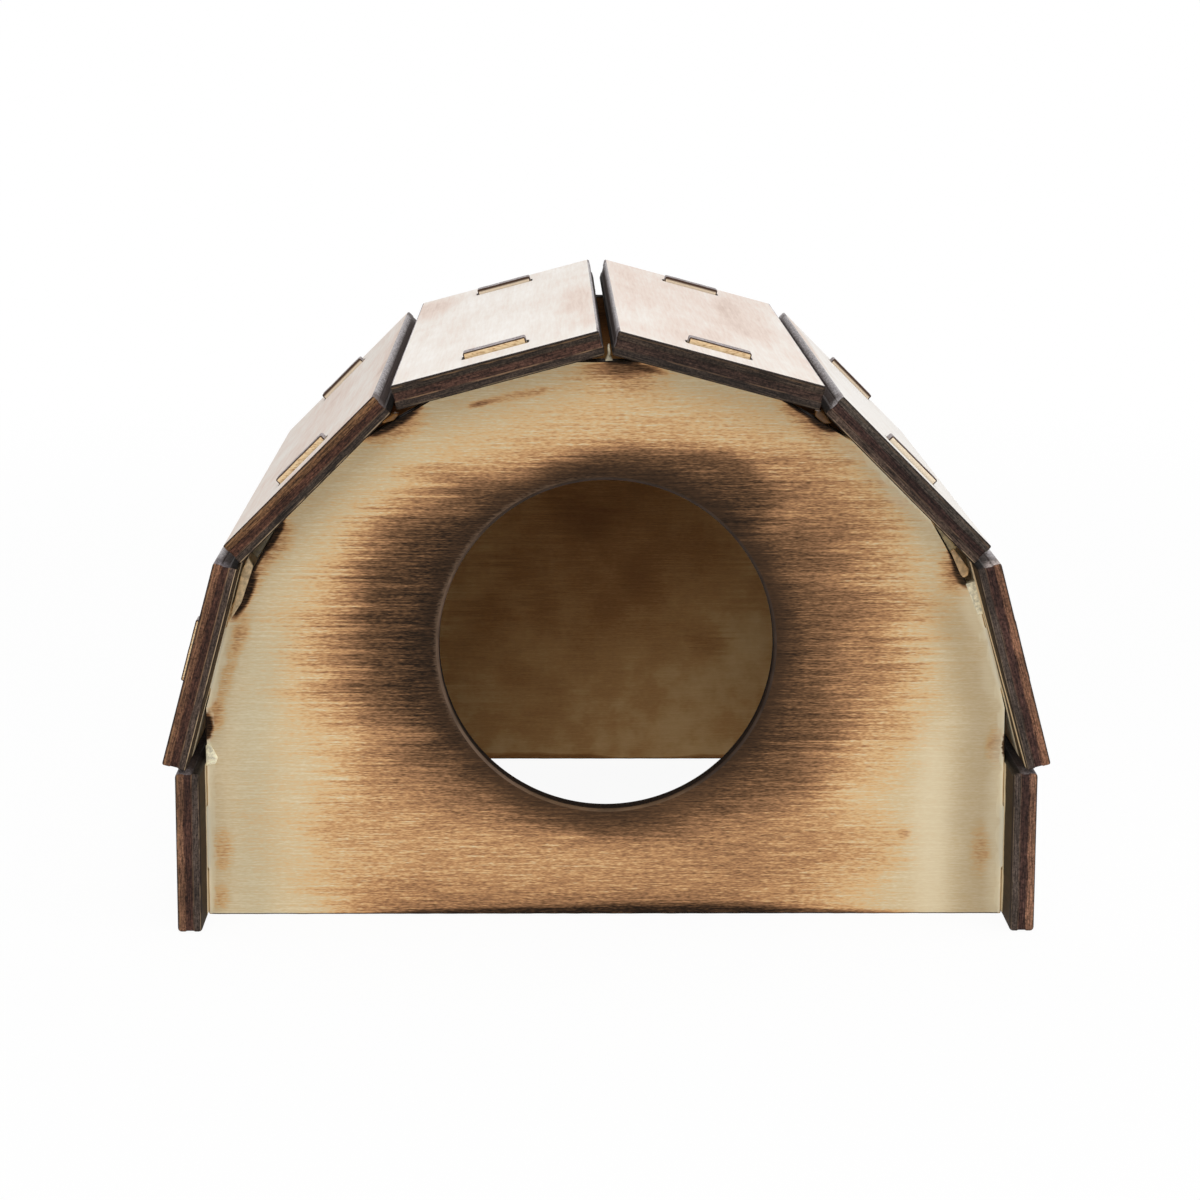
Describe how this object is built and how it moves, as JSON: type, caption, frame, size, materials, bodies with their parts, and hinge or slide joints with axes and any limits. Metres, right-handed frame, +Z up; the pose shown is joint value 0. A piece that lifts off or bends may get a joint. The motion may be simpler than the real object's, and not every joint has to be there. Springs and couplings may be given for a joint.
{
  "type": "small animal house",
  "caption": "Arched plywood hideaway for hamsters and mice: tenoned end panels under an arch of roof slats, round entrance in front, open bottom.",
  "frame": {"origin": "on the floor, under the middle of the house", "axes": "+X to the right seen from the front, +Y from the entrance to the back, +Z up"},
  "size_m": [0.144, 0.14, 0.0985],
  "materials": {
    "end_panel_wood": "flame-toasted plywood, matt",
    "slat_wood": "lightly toasted plywood with charred edges, matt"
  },
  "bodies": {
    "root": {"front_panel": "end_panel_wood", "back_panel": "end_panel_wood", "left_side_slat": "slat_wood", "left_lower_roof_slat": "slat_wood", "left_middle_roof_slat": "slat_wood", "left_top_roof_slat": "slat_wood", "right_top_roof_slat": "slat_wood", "right_middle_roof_slat": "slat_wood", "right_lower_roof_slat": "slat_wood", "right_side_slat": "slat_wood"}
  },
  "joints": []
}
